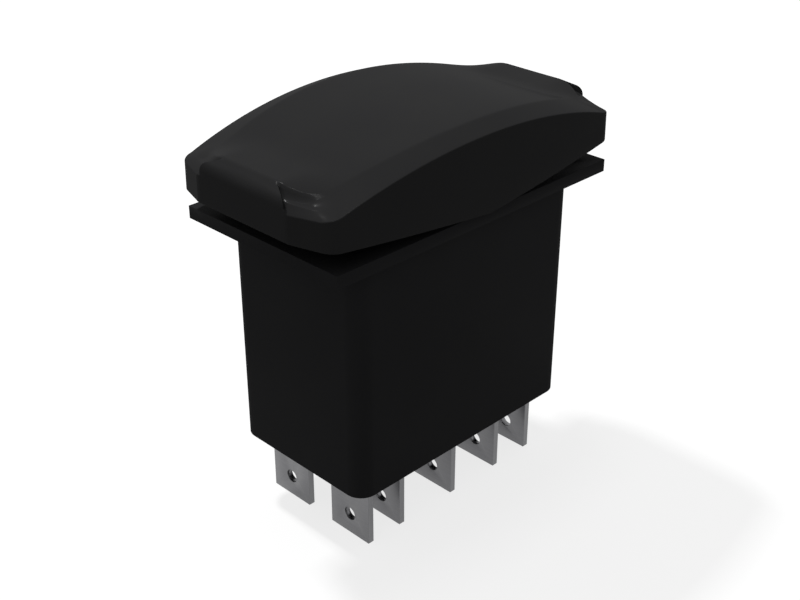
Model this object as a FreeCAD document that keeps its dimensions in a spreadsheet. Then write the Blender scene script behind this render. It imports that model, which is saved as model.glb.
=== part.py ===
import FreeCAD, Part
import math
import os
import re
import Sketcher

# Panel rocker switch: double pole, centre off, ten blade terminals, two indicator lamps.
# X runs along the long side, Y across, Z out of the panel.
# The origin is the middle of the panel cut-out, in the plane of the flange's underside.

# Driving dimensions, in millimetres and degrees
SIZES = [
    ("case_length", 34.7, "case that passes through the panel"),
    ("case_depth", 28.9, ""),
    ("case_corner", 2.15, "radius of the upright corners"),
    ("case_wall", 1.4, ""),
    ("flange_end", 4.025, "bezel flange that lies on the panel, beyond the case at each end"),
    ("flange_side", 1.575, "and at each side"),
    ("flange_thickness", 1.5, ""),
    ("base_thickness", 2.8, "plate that closes the case and carries the terminals"),
    ("base_ledge", 0.8, "stop inside the case that the base comes up against"),
    ("fit_gap", 0.05, "clearance at each side of parts that stay put"),
    ("seat_gap", 0.02, "clearance between faces that rest on each other"),
    ("end_overhang", 2.13, "cap beyond the flange at each end, in the plane of the panel"),
    ("side_overhang", 0.98, "cap beyond the flange at the middle of each side"),
    ("side_bow", 1.0, "how far the cap's long sides fall back towards the corners"),
    ("cap_draft", 1.0, "lean of the cap's walls"),
    ("cap_wall", 1.6, ""),
    ("cap_corner", 2.0, "radius of the cap's four corners seen from above"),
    ("facet_width", 5.7, "slanted facet beside a nose, measured across the switch"),
    ("facet_setback", 1.6, "how far a facet falls back at the corner"),
    ("crown", 11.35, "top of the cap at mid length"),
    ("pad_radius", 100.0, "arch of the raised pad, seen from the side"),
    ("pad_step", 0.12, "edge of the pad above the bevel beside it"),
    ("pad_corner", 3.4, ""),
    ("pad_setback", 1.6, "end of the pad from the end of the cap"),
    ("bevel_width", 3.2, "bevel from the pad down to the long edge, at mid length"),
    ("rim_drop", 0.6, "long edge below the crown at mid length"),
    ("rim_radius", 66.0, "arch of the long edge"),
    ("lip_drop", 1.93, "flat lip at each end of the pad, below the crown"),
    ("flare_radius", 12.0, "hollow round between the arch and the lip"),
    ("nose_step", 0.35, "step from the lip down to the nose"),
    ("nose_drop", 2.55, "end of the nose below the crown"),
    ("nose_round", 0.35, ""),
    ("end_bevel", 3.5, "length of the bevels at each end"),
    ("crease_drop", 3.75, "upper edge of a facet below the crown, beside the nose"),
    ("corner_drop", 5.1, "and beyond the corner"),
    ("skirt_middle", 1.65, "height of the cap's lower edge at mid length"),
    ("skirt_angle", 5.7, "rise of the lower edge towards each end"),
    ("pivot_drop", 3.0, "pivot axis below the flange's underside"),
    ("trunnion_diameter", 3.2, ""),
    ("trunnion_reach", 2.0, "length of a trunnion beyond its cheek"),
    ("running_gap", 0.05, "radial clearance of what turns or slides"),
    ("side_gap", 0.2, "clearance between a cheek and its boss"),
    ("boss_width", 7.0, "bosses in the case that hold the trunnions"),
    ("boss_below", 3.5, "depth of a boss below the pivot axis"),
    ("snap_bridge", 0.4, "wall left between the lead-in slot and the socket"),
    ("snap_step", 0.4, "how much less deep the lead-in slot is than the socket"),
    ("bracket_play", 1.65, "carrier under the cap, from the end walls of the case"),
    ("boss_stand", 1.075, "and from the side walls, where the bosses stand"),
    ("bracket_top", 5.0, ""),
    ("bracket_roof", 1.6, ""),
    ("bracket_wall", 1.3, ""),
    ("bracket_corner", 1.5, ""),
    ("cheek_below", 2.5, "depth of a cheek below the pivot axis"),
    ("cheek_foot", 6.4, "width of a cheek at its lower edge"),
    ("cheek_head", 16.0, "width of a cheek where it meets the side wall"),
    ("skirt_of_bracket", 0.5, "depth of the bracket's wall below the flange's underside"),
    ("barrel_diameter", 5.2, "barrels that guide the plungers"),
    ("barrel_drop", 11.0, "lower end of the barrels below the flange's underside"),
    ("bore_roof", 1.4, "plastic left above a bore, inside the bracket's roof"),
    ("plunger_diameter", 3.3, ""),
    ("plunger_tip_flat", 0.3, ""),
    ("plunger_taper", 1.2, "height of the plunger's tapered tip"),
    ("spigot_diameter", 1.9, "peg on the plunger that centres its spring"),
    ("spigot_length", 1.4, ""),
    ("spring_room", 10.9, "bore above a plunger, for its spring"),
    ("spring_diameter", 2.9, "outer diameter"),
    ("spring_wire", 0.36, ""),
    ("spring_turns", 5.0, ""),
    ("tip_gap", 0.08, "plunger tip above the blade with the rocker level"),
    ("terminal_column", 5.2, "distance of each pole from the middle"),
    ("tab_width", 6.35, ""),
    ("tab_thickness", 0.81, ""),
    ("tab_length", 8.6, "length of a tab below the case"),
    ("tab_hole", 1.7, ""),
    ("tab_hole_rise", 2.7, "centre of the hole above the tab's tip"),
    ("shoulder_step", 0.425, "step that stops a terminal on the base"),
    ("shoulder_height", 1.0, ""),
    ("stem_width", 5.0, "part of a terminal above its shoulder"),
    ("column_margin", 0.175, "shoulder of a terminal from the side wall"),
    ("near_lamp_inset", 2.0, "lamp terminals from the end walls"),
    ("far_lamp_inset", 2.06, ""),
    ("near_row_pitch", 5.09, "throw terminals from the lamp terminals"),
    ("far_row_pitch", 5.97, ""),
    ("hinge_height", 5.6, "knife edge of the centre terminal above the base"),
    ("knife_flat", 0.2, ""),
    ("knife_depth", 0.3, "height of the bevels of the knife edge"),
    ("ear_height", 1.4, "ears beside the blade, above the knife edge"),
    ("blade_width", 4.2, "rocking contact blade"),
    ("blade_thickness", 0.8, ""),
    ("blade_overhang", 1.8, "end of the blade beyond its contact"),
    ("blade_dish", 7.5, "rise of each arm of the blade"),
    ("groove_mouth", 1.2, "groove under the blade that sits on the knife edge"),
    ("groove_top", 0.3, ""),
    ("contact_inset", 1.72, "contacts from the far throw terminals, both ends alike"),
    ("contact_diameter", 3.0, ""),
    ("contact_height", 0.7, "silver tips, brazed to the blades and to the feet of the terminals"),
    ("contact_gap", 0.03, "gap left when the rocker is fully over"),
    ("foot_thickness", 0.8, "foot of an outer terminal under its contact"),
    ("foot_overhang", 1.6, "foot beyond the middle of its contact"),
    ("lamp_inset", 3.45, "lamps from the near lamp terminals, both ends alike"),
    ("lamp_post_length", 3.6, ""),
    ("lamp_post_width", 1.8, ""),
    ("lamp_foot", 6.0, "underside of a lamp below the flange's underside"),
    ("lamp_diameter", 3.0, ""),
    ("lamp_flange", 3.8, ""),
    ("lamp_flange_height", 1.0, ""),
    ("lamp_height", 5.3, ""),
    ("lamp_taper", 0.9, "bevel round a lamp's top"),
    ("lamp_window_length", 4.4, "windows in the bracket above the lamps"),
    ("lamp_window_width", 6.0, ""),
    ("lead_pitch", 2.54, "distance between a lamp's leads"),
    ("lead_diameter", 0.5, ""),
    ("lead_bend", 1.2, ""),
    ("lead_height", 1.6, "where a lead meets its terminal, above the base"),
    ("lamp_stem", 3.2, "lamp terminals above the base"),
    ("resistor_diameter", 2.2, ""),
    ("resistor_length", 5.6, ""),
    ("resistor_top", 10.5, "upper end of a resistor below the flange's underside"),
    ("resistor_offset", 2.4, "resistor's axis from the middle"),
    ("partition_width", 1.4, "wall between the two poles"),
    ("partition_length", 17.0, ""),
    ("partition_height", 11.0, ""),
    ("rib_place", 9.0, "cross ribs of the cap from the middle"),
    ("rib_thickness", 1.2, ""),
    ("leg_place", 5.0, "snap legs of the cap from the middle"),
    ("leg_thickness", 1.4, ""),
    ("leg_width", 4.6, ""),
    ("leg_gap", 0.1, ""),
    ("barb_reach", 0.6, ""),
    ("barb_height", 1.1, ""),
]

# Sizes that follow from the driving dimensions
FOLLOWING = {
    "shoulder_width": "tab_width + 2 * shoulder_step",
    "case_width": "2 * (terminal_column + shoulder_width / 2 + column_margin + case_wall)",
    "flange_length": "case_length + 2 * flange_end",
    "flange_width": "case_width + 2 * flange_side",
    "near_lamp_row": "case_length / 2 - case_wall - near_lamp_inset",
    "far_lamp_row": "case_length / 2 - case_wall - far_lamp_inset",
    "near_throw_row": "near_lamp_row - near_row_pitch",
    "far_throw_row": "far_lamp_row - far_row_pitch",
    "contact_reach": "far_throw_row - contact_inset",
    "blade_tip": "contact_reach + blade_overhang",
    "lamp_place": "near_lamp_row - lamp_inset",
    "bracket_length": "case_length - 2 * (case_wall + bracket_play)",
    "bracket_width": "case_width - 2 * (case_wall + boss_stand)",
}

# Heights and places that several pieces share, as formulas of the sizes
BASE_TOP = "(base_thickness - case_depth)"
HINGE = f"({BASE_TOP} + hinge_height)"
PIVOT = "(-pivot_drop)"
CAVITY_LENGTH = "(case_length - 2 * case_wall)"
CAVITY_WIDTH = "(case_width - 2 * case_wall)"
ROOF_UNDER = "(bracket_top - bracket_roof)"
BORE_TOP = f"({ROOF_UNDER} - bore_roof)"
BOSS_FACE = "(bracket_width / 2 + side_gap)"
SOCKET_END = "(bracket_width / 2 + trunnion_reach + running_gap)"
PLUNGER_TIP = f"({HINGE} - knife_depth + blade_thickness / cos(blade_dish) + tip_gap)"
PLUNGER_TOP = f"({BORE_TOP} - spring_room)"
PLUNGER_LENGTH = f"({PLUNGER_TOP} - {PLUNGER_TIP})"
CONTACT_TOP = f"({HINGE} - knife_depth - contact_height - contact_gap)"
FOOT_TOP = f"({CONTACT_TOP} - contact_height)"
CAP_END = "(flange_length / 2 + end_overhang)"
CAP_SIDE = "(flange_width / 2 + side_overhang)"
CORNER_PLACE = f"({CAP_END} - facet_setback)"
NOSE_HALF = f"({CAP_SIDE} - facet_width)"
PAD_END = f"({CAP_END} - pad_setback)"
PAD_SIDE = f"({CAP_SIDE} - bevel_width)"
PAD_AXIS = "(crown - pad_radius)"
RIM_AXIS = "(crown - rim_drop - rim_radius)"
LIP = "(crown - lip_drop)"

doc = FreeCAD.newDocument("rocker_switch")
sheet = doc.addObject("Spreadsheet::Sheet", "Sizes")
for row, (alias, value, note) in enumerate(SIZES, start=1):
    sheet.set(f"A{row}", alias)
    sheet.set(f"B{row}", str(value))
    sheet.set(f"C{row}", note)
    sheet.setAlias(f"B{row}", alias)
doc.recompute()
ALIASES = {alias for alias, value, note in SIZES}
parts = []


def cells(formula):
    """Formula with every size written as a cell of the sheet, or as its own formula."""
    def name(match):
        word = match.group(0)
        if word in FOLLOWING:
            return f"({cells(FOLLOWING[word])})"
        return f"Sizes.{word}" if word in ALIASES else word
    text = re.sub(r"[a-z_]+", name, formula)
    return re.sub(r"(sin|cos|tan)\((Sizes\.[a-z_]+)\)", r"\1(\2 * 1 deg)", text)


def bind(thing, path, formula):
    """Ties a property, or one number inside it, to the sheet."""
    thing.setExpression(path, cells(formula))


def number(formula):
    """The present value of a formula, for a first place or a shape that is worked out here."""
    return float(sheet.evalExpression(cells(formula)))


def arch(radius, axis, along):
    """Height of a lengthwise arch at a distance from the middle, as a formula."""
    return f"(sqrt({radius} ^ 2 - ({along}) ^ 2) + {axis})"


def new_body(label, place=("0", "0", "0"), turn_axis=None, turn=None):
    """A sub-part whose own origin lies at the given place."""
    body = doc.addObject("PartDesign::Body", label)
    body.Label = label
    if turn_axis:
        start = FreeCAD.Rotation(FreeCAD.Vector(*turn_axis), number(turn))
        body.Placement = FreeCAD.Placement(FreeCAD.Vector(), start)
        bind(body, "Placement.Rotation.Angle", turn)
    for axis, formula in zip("xyz", place):
        bind(body, f"Placement.Base.{axis}", formula)
    return body


def keep(piece):
    """Marks an object as a finished sub-part."""
    parts.append(piece)
    return piece


def new_sketch(body, plane, height="0"):
    """Empty sketch on one of the body's own planes, moved along its normal."""
    sketch = body.newObject("Sketcher::SketchObject", "profile")
    origin = [part for part in body.Origin.OriginFeatures if part.Role == plane][0]
    sketch.AttachmentSupport = [(origin, "")]
    sketch.MapMode = "FlatFace"
    bind(sketch, "AttachmentOffset.Base.z", height)
    return sketch


def pin_point(sketch, curve, end, across, along):
    """Holds one point of a curve at a place given by two formulas."""
    for kind, formula in (("DistanceX", across), ("DistanceY", along)):
        rule = sketch.addConstraint(Sketcher.Constraint(kind, -1, 1, curve, end, number(formula)))
        bind(sketch, f"Constraints[{rule}]", formula)


def arc_between(start, end, radius, side):
    """Arc on the right of the way from start to end (side 1), or on its left (side -1)."""
    half = (end - start) / 2
    left = FreeCAD.Vector(-half.y, half.x, 0).normalize()
    centre = start + half + left * side * math.sqrt(radius ** 2 - half.Length ** 2)
    first, last = (start - centre, end - centre)[::side]
    turns = [math.atan2(spoke.y, spoke.x) for spoke in (first, last)]
    full = Part.Circle(centre, FreeCAD.Vector(0, 0, 1), radius)
    return Part.ArcOfCircle(full, turns[0], turns[0] + (turns[1] - turns[0]) % math.tau)


def outline(sketch, corners, arcs=None):
    """Closed outline pinned at its corners. An edge named in arcs has a radius and a side."""
    first = sketch.GeometryCount
    places = [FreeCAD.Vector(number(across), number(along), 0) for across, along in corners]
    ends = []
    for step, (start, end) in enumerate(zip(places, places[1:] + places[:1])):
        if arcs and step in arcs:
            radius, side = arcs[step]
            curve = sketch.addGeometry(arc_between(start, end, number(radius), side), False)
            ends.append((1, 2)[::side])
        else:
            curve = sketch.addGeometry(Part.LineSegment(start, end), False)
            ends.append((1, 2))
    for step, (start_end, last_end) in enumerate(ends):
        following = (step + 1) % len(ends)
        sketch.addConstraint(Sketcher.Constraint("Coincident", first + step, last_end,
                                                 first + following, ends[following][0]))
    for step, (across, along) in enumerate(corners):
        pin_point(sketch, first + step, ends[step][0], across, along)
    for step, (radius, side) in (arcs or {}).items():
        rule = sketch.addConstraint(Sketcher.Constraint("Radius", first + step, number(radius)))
        bind(sketch, f"Constraints[{rule}]", radius)


def rectangle(sketch, low_x, high_x, low_y, high_y):
    outline(sketch, [(low_x, low_y), (high_x, low_y), (high_x, high_y), (low_x, high_y)])


def centred_rectangle(sketch, length, width):
    half_x = f"({length}) / 2"
    half_y = f"({width}) / 2"
    rectangle(sketch, f"-{half_x}", half_x, f"-{half_y}", half_y)


def circle(sketch, across, along, diameter):
    centre = FreeCAD.Vector(number(across), number(along), 0)
    full = Part.Circle(centre, FreeCAD.Vector(0, 0, 1), number(diameter) / 2)
    curve = sketch.addGeometry(full, False)
    pin_point(sketch, curve, 3, across, along)
    rule = sketch.addConstraint(Sketcher.Constraint("Diameter", curve, number(diameter)))
    bind(sketch, f"Constraints[{rule}]", diameter)


def pad(body, sketch, length, both_ways=False, down=False):
    feature = body.newObject("PartDesign::Pad", "pad")
    feature.Profile = sketch
    feature.Midplane = both_ways
    feature.Reversed = down
    bind(feature, "Length", length)
    return feature


def pocket(body, sketch, length, both_ways=False, up=False):
    """Cut along the sketch's normal, downward unless told otherwise."""
    feature = body.newObject("PartDesign::Pocket", "pocket")
    feature.Profile = sketch
    feature.Midplane = both_ways
    feature.Reversed = up
    bind(feature, "Length", length)
    return feature


def turned(label, profile, place, turn_axis=None, turn=None):
    """Round piece: a half profile of radius and height pairs, revolved about its Z axis."""
    body = new_body(label, place, turn_axis, turn)
    sketch = new_sketch(body, "XZ_Plane")
    outline(sketch, profile)
    feature = body.newObject("PartDesign::Revolution", "turned")
    feature.Profile = sketch
    feature.ReferenceAxis = (sketch, ["V_Axis"])
    feature.Angle = 360
    return body


def round_edges(body, choose, radius):
    """Rounds the edges of the body's tip that a test picks."""
    doc.recompute()
    base = body.Tip
    names = [f"Edge{i}" for i, edge in enumerate(base.Shape.Edges, 1) if choose(edge)]
    feature = body.newObject("PartDesign::Fillet", "round")
    feature.Base = (base, names)
    bind(feature, "Radius", radius)
    return feature


def upright(edge):
    """True for a straight edge along Z."""
    if edge.Closed:
        return False
    ends = [vertex.Point for vertex in edge.Vertexes]
    run = ends[1] - ends[0]
    return abs(run.x) + abs(run.y) < 1e-6 and abs(run.z) > 1e-6


def rising(edge):
    """True for an edge that joins two heights."""
    return edge.BoundBox.ZLength > 1


def along_y(edge):
    """True for a straight edge across the switch."""
    box = edge.BoundBox
    return box.XLength < 1e-4 and box.ZLength < 1e-4 and box.YLength > 1


# Case: one moulding with the bezel flange, the walls and the pivot bosses
def make_housing():
    body = new_body("housing")
    case = new_sketch(body, "XY_Plane")
    centred_rectangle(case, "case_length", "case_width")
    pad(body, case, "case_depth", down=True)
    round_edges(body, upright, "case_corner")
    flange = new_sketch(body, "XY_Plane")
    centred_rectangle(flange, "flange_length", "flange_width")
    pad(body, flange, "flange_thickness")
    cavity = new_sketch(body, "XY_Plane", "flange_thickness")
    centred_rectangle(cavity, CAVITY_LENGTH, CAVITY_WIDTH)
    pocket(body, cavity, "flange_thickness + case_depth")
    half = number(f"{CAVITY_LENGTH} / 2")
    round_edges(body, lambda edge: upright(edge) and abs(abs(edge.Vertexes[0].X) - half) < 1e-6,
                "case_corner - case_wall")
    # A boss on each long wall carries a blind socket for the bracket's trunnion
    bosses = new_sketch(body, "XY_Plane", f"{PIVOT} - boss_below")
    inner = f"{CAVITY_WIDTH} / 2 + fit_gap"
    rectangle(bosses, "-boss_width / 2", "boss_width / 2", BOSS_FACE, inner)
    rectangle(bosses, "-boss_width / 2", "boss_width / 2", f"-({inner})", f"-{BOSS_FACE}")
    pad(body, bosses, f"boss_below - {PIVOT} + flange_thickness")
    sockets = new_sketch(body, "XZ_Plane")
    circle(sockets, "0", PIVOT, "trunnion_diameter + 2 * running_gap")
    pocket(body, sockets, f"2 * {SOCKET_END}", both_ways=True)
    # The trunnions snap in past a short bridge below each lead-in slot
    slots = new_sketch(body, "XY_Plane", "flange_thickness")
    slot_half = "trunnion_diameter / 2 + fit_gap"
    slot_end = f"{SOCKET_END} - snap_step"
    rectangle(slots, f"-({slot_half})", slot_half, f"-({slot_end})", slot_end)
    socket_top = f"{PIVOT} + trunnion_diameter / 2 + running_gap"
    pocket(body, slots, f"flange_thickness - ({socket_top} + snap_bridge)")
    # Two ledges stop the base as it is pushed in from below
    ledges = new_sketch(body, "XY_Plane", f"{BASE_TOP} + seat_gap")
    ledge_out = f"{CAVITY_LENGTH} / 2 + fit_gap"
    ledge_in = f"{CAVITY_LENGTH} / 2 - base_ledge"
    half_ledge = f"{CAVITY_WIDTH} / 3"
    rectangle(ledges, ledge_in, ledge_out, f"-{half_ledge}", half_ledge)
    rectangle(ledges, f"-({ledge_out})", f"-({ledge_in})", f"-{half_ledge}", half_ledge)
    pad(body, ledges, "2 * base_ledge")
    return keep(body)


# Base: plate with ten slots, the wall between the poles and the two lamp posts
def make_base():
    body = new_body("terminal_base", ("0", "0", BASE_TOP))
    plate = new_sketch(body, "XY_Plane")
    centred_rectangle(plate, f"{CAVITY_LENGTH} - 2 * fit_gap", f"{CAVITY_WIDTH} - 2 * fit_gap")
    pad(body, plate, "base_thickness", down=True)
    round_edges(body, upright, "case_corner - case_wall")
    wall = new_sketch(body, "XY_Plane")
    centred_rectangle(wall, "partition_length", "partition_width")
    pad(body, wall, "partition_height")
    posts = new_sketch(body, "XY_Plane")
    inner = "lamp_place - lamp_post_length / 2"
    outer = "lamp_place + lamp_post_length / 2"
    rectangle(posts, inner, outer, "-lamp_post_width / 2", "lamp_post_width / 2")
    rectangle(posts, f"-({outer})", f"-({inner})", "-lamp_post_width / 2", "lamp_post_width / 2")
    pad(body, posts, f"-lamp_foot - seat_gap - {BASE_TOP}")
    slots = new_sketch(body, "XY_Plane")
    half_slot = "(tab_thickness / 2 + fit_gap)"
    slot_in = "terminal_column - tab_width / 2 - fit_gap"
    slot_out = "terminal_column + tab_width / 2 + fit_gap"
    for row in ROWS.values():
        low = f"{row} - {half_slot}"
        high = f"{row} + {half_slot}"
        rectangle(slots, low, high, slot_in, slot_out)
        rectangle(slots, low, high, f"-({slot_out})", f"-({slot_in})")
    pocket(body, slots, "base_thickness")
    return keep(body)


# Rows of terminals from the near end to the far end
ROWS = {
    "near_lamp": "-near_lamp_row",
    "near_throw": "-near_throw_row",
    "centre": "0",
    "far_throw": "far_throw_row",
    "far_lamp": "far_lamp_row",
}
POLES = {"left": "-terminal_column", "right": "terminal_column"}


def tab_profile(sketch, top, top_width):
    """Blade terminal seen along X: tab, shoulders, stem and the round hole near the tip."""
    tip = "-base_thickness - tab_length"
    corners = [("tab_width / 2", tip), ("tab_width / 2", "seat_gap"),
               ("shoulder_width / 2", "seat_gap"), ("shoulder_width / 2", "shoulder_height"),
               (f"{top_width} / 2", "shoulder_height"), (f"{top_width} / 2", top)]
    mirrored = [(f"-{across}", along) for across, along in reversed(corners)]
    outline(sketch, corners + mirrored)
    circle(sketch, "0", f"{tip} + tab_hole_rise", "tab_hole")


def make_terminal(row, pole):
    """Stamped blade terminal with its origin on the base, in the middle of its slot."""
    body = new_body(f"{row}_terminal_{pole}", (ROWS[row], POLES[pole], BASE_TOP))
    blank = new_sketch(body, "YZ_Plane")
    if row == "centre":
        # Ears stand beside the rocking blade, and the knife edge lies between them
        tab_profile(blank, "hinge_height + ear_height", "tab_width")
        pad(body, blank, "tab_thickness", both_ways=True)
        notch = new_sketch(body, "YZ_Plane")
        rectangle(notch, "-blade_width / 2 - fit_gap", "blade_width / 2 + fit_gap",
                  "hinge_height", "hinge_height + 2 * ear_height")
        pocket(body, notch, "2 * tab_thickness", both_ways=True)
        bevels = new_sketch(body, "XZ_Plane")
        for side in ("", "-"):
            outline(bevels, [(f"{side}knife_flat / 2", "hinge_height"),
                             (f"{side}tab_thickness", "hinge_height"),
                             (f"{side}tab_thickness", "hinge_height - knife_depth"),
                             (f"{side}tab_thickness / 2", "hinge_height - knife_depth")])
        pocket(body, bevels, "blade_width + 2 * fit_gap", both_ways=True)
    elif row.endswith("throw"):
        # The stem is bent over towards the middle and holds the fixed contact
        foot_top = f"({FOOT_TOP} - {BASE_TOP})"
        tab_profile(blank, foot_top, "stem_width")
        pad(body, blank, "tab_thickness", both_ways=True)
        outward = "-" if row.startswith("near") else ""
        inward = "" if row.startswith("near") else "-"
        foot = new_sketch(body, "XZ_Plane")
        reach = f"(abs({ROWS[row]}) - contact_reach + foot_overhang)"
        outline(foot, [(f"{outward}tab_thickness / 2", f"{foot_top} - foot_thickness"),
                       (f"{outward}tab_thickness / 2", foot_top),
                       (f"{inward}{reach}", foot_top),
                       (f"{inward}{reach}", f"{foot_top} - foot_thickness")])
        pad(body, foot, "stem_width", both_ways=True)
    else:
        tab_profile(blank, "lamp_stem", "stem_width")
        pad(body, blank, "tab_thickness", both_ways=True)
    return keep(body)


def contact_tip(label, low, high, place, turn_axis=None, turn=None):
    """Round silver tip between two heights."""
    profile = [("0", low), ("contact_diameter / 2", low), ("contact_diameter / 2", high), ("0", high)]
    return keep(turned(label, profile, place, turn_axis, turn))


def make_fixed_contact(end, pole):
    """Silver tip on the foot of an outer terminal, its origin on the foot."""
    side = "-" if end == "near" else ""
    return contact_tip(f"fixed_contact_{end}_{pole}", "seat_gap", "contact_height",
                       (f"{side}contact_reach", POLES[pole], FOOT_TOP))


def make_blade(pole):
    """Dished copper strip that rocks on the knife edge, its origin on that edge."""
    body = new_body(f"contact_blade_{pole}", ("0", POLES[pole], HINGE))
    profile = new_sketch(body, "XZ_Plane")
    under = "-knife_depth + {0} * tan(blade_dish)"
    thick = "blade_thickness / cos(blade_dish)"
    mouth = "groove_mouth / 2"
    half = [("groove_top / 2", "seat_gap"), (mouth, under.format(mouth)),
            ("blade_tip", under.format("blade_tip")),
            ("blade_tip", f"{under.format('blade_tip')} + {thick}")]
    middle = [("0", f"-knife_depth + {thick}")]
    mirrored = [(f"-{across}", along) for across, along in reversed(half)]
    outline(profile, half + middle + mirrored)
    pad(body, profile, "blade_width", both_ways=True)
    return keep(body)


def make_moving_contact(end, pole):
    """Silver tip under one arm of a blade, its origin on the arm's underside."""
    side = -1 if end == "near" else 1
    place = (f"{side} * contact_reach * cos(blade_dish)", POLES[pole],
             f"{HINGE} - knife_depth + contact_reach * sin(blade_dish)")
    return contact_tip(f"moving_contact_{end}_{pole}", "-contact_height", "-seat_gap", place,
                       (0, -side, 0), "blade_dish")


def make_plunger(pole):
    """Nylon plunger whose tapered tip rides on the blade, its origin at the tip."""
    neck = f"{PLUNGER_LENGTH} - spigot_length"
    profile = [("0", "0"), ("plunger_tip_flat / 2", "0"), ("plunger_diameter / 2", "plunger_taper"),
               ("plunger_diameter / 2", neck), ("spigot_diameter / 2", neck),
               ("spigot_diameter / 2", PLUNGER_LENGTH), ("0", PLUNGER_LENGTH)]
    return keep(turned(f"plunger_{pole}", profile, ("0", POLES[pole], PLUNGER_TIP)))


def make_spring(pole):
    """Compression spring between the plunger's shoulder and the end of its bore."""
    coil_radius = "(spring_diameter - spring_wire) / 2"
    low = f"({PLUNGER_TOP} - spigot_length + spring_wire / 2 + seat_gap)"
    high = f"({BORE_TOP} - spring_wire / 2 - seat_gap)"
    helix = doc.addObject("Part::Helix", f"coil_line_{pole}")
    bind(helix, "Radius", coil_radius)
    bind(helix, "Height", f"{high} - {low}")
    bind(helix, "Pitch", f"({high} - {low}) / spring_turns")
    wire = doc.addObject("Part::RegularPolygon", f"wire_section_{pole}")
    wire.Polygon = 4
    bind(wire, "Circumradius", "spring_wire / 2")
    wire.Placement = FreeCAD.Placement(
        FreeCAD.Vector(), FreeCAD.Rotation(FreeCAD.Vector(1, 0, 0), 90))
    bind(wire, "Placement.Base.x", coil_radius)
    doc.recompute()
    spring = doc.addObject("Part::Sweep", f"plunger_spring_{pole}")
    spring.Label = f"plunger_spring_{pole}"
    spring.Sections = [wire]
    spring.Spine = (helix, [f"Edge{i}" for i in range(1, len(helix.Shape.Edges) + 1)])
    spring.Solid = True
    spring.Frenet = True
    bind(spring, "Placement.Base.y", POLES[pole])
    bind(spring, "Placement.Base.z", low)
    return keep(spring)


# Bracket: the moulding under the cap, with trunnions, plunger barrels and windows
def make_bracket():
    body = new_body("rocker_bracket")
    floor = f"({PIVOT} - cheek_below)"
    block = new_sketch(body, "XY_Plane", floor)
    centred_rectangle(block, "bracket_length", "bracket_width")
    pad(body, block, f"bracket_top - {floor}")
    round_edges(body, upright, "bracket_corner")
    pins = new_sketch(body, "XZ_Plane")
    circle(pins, "0", PIVOT, "trunnion_diameter")
    pad(body, pins, "bracket_width + 2 * trunnion_reach", both_ways=True)
    hollow = new_sketch(body, "XY_Plane", floor)
    centred_rectangle(hollow, "bracket_length - 2 * bracket_wall",
                      "bracket_width - 2 * bracket_wall")
    pocket(body, hollow, f"{ROOF_UNDER} - {floor}", up=True)
    # Outside the cheeks the walls stop just below the flange
    cheeks = new_sketch(body, "XZ_Plane")
    for side in ("", "-"):
        outline(cheeks, [(f"{side}cheek_foot / 2", f"{floor} - 1"),
                         (f"{side}cheek_foot / 2", floor),
                         (f"{side}cheek_head / 2", "-skirt_of_bracket"),
                         (f"{side}bracket_length", "-skirt_of_bracket"),
                         (f"{side}bracket_length", f"{floor} - 1")])
    pocket(body, cheeks, "2 * bracket_width", both_ways=True)
    barrels = new_sketch(body, "XY_Plane", "-barrel_drop")
    bores = new_sketch(body, "XY_Plane", "-barrel_drop")
    for across in POLES.values():
        circle(barrels, "0", across, "barrel_diameter")
        circle(bores, "0", across, "plunger_diameter + 2 * running_gap")
    pad(body, barrels, f"barrel_drop + {ROOF_UNDER} + fit_gap")
    pocket(body, bores, f"barrel_drop + {BORE_TOP}", up=True)
    windows = new_sketch(body, "XY_Plane", "bracket_top")
    half_window = "lamp_window_width / 2"
    half_leg = "(leg_width / 2 + leg_gap)"
    for side in ("", "-"):
        lamp = f"{side}lamp_place"
        rectangle(windows, f"{lamp} - lamp_window_length / 2", f"{lamp} + lamp_window_length / 2",
                  f"-{half_window}", half_window)
        leg = f"{side}leg_place"
        reach = "(leg_thickness / 2 + leg_gap)"
        rectangle(windows, f"{leg} - {reach}", f"{leg} + {reach}", f"-{half_leg}", half_leg)
    pocket(body, windows, "bracket_roof")
    return keep(body)


def cap_walls(label, inset, floor):
    """Tall block with leaning walls on the cap's plan, its sides moved in by an inset."""
    body = new_body(label)
    plan = new_sketch(body, "XY_Plane", floor)
    end = f"({CAP_END} - {inset})"
    side = f"({CAP_SIDE} - side_bow - {inset})"
    back = f"({CORNER_PLACE} - {inset})"
    bow = f"(({back} ^ 2 + side_bow ^ 2) / (2 * side_bow))"
    outline(plan, [(back, side), (f"-{back}", side), (f"-{end}", NOSE_HALF), (f"-{end}", f"-{NOSE_HALF}"),
                   (f"-{back}", f"-{side}"), (back, f"-{side}"), (end, f"-{NOSE_HALF}"), (end, NOSE_HALF)],
            {0: (bow, 1), 4: (bow, 1)})
    walls = pad(body, plan, f"2 * crown - ({floor})")
    bind(walls, "TaperAngle", "-cap_draft")
    corner_y = number(f"({CAP_SIDE} + {NOSE_HALF}) / 2")
    round_edges(body, lambda edge: rising(edge) and abs(edge.CenterOfMass.y) > corner_y,
                f"cap_corner - {inset} / 2")
    return body


def loft(body, sections, ruled):
    """Solid through closed sections, straight or smooth from one to the next."""
    feature = body.newObject("PartDesign::AdditiveLoft", "loft")
    feature.Profile = sections[0]
    feature.Sections = sections[1:]
    feature.Ruled = ruled
    return feature


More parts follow.
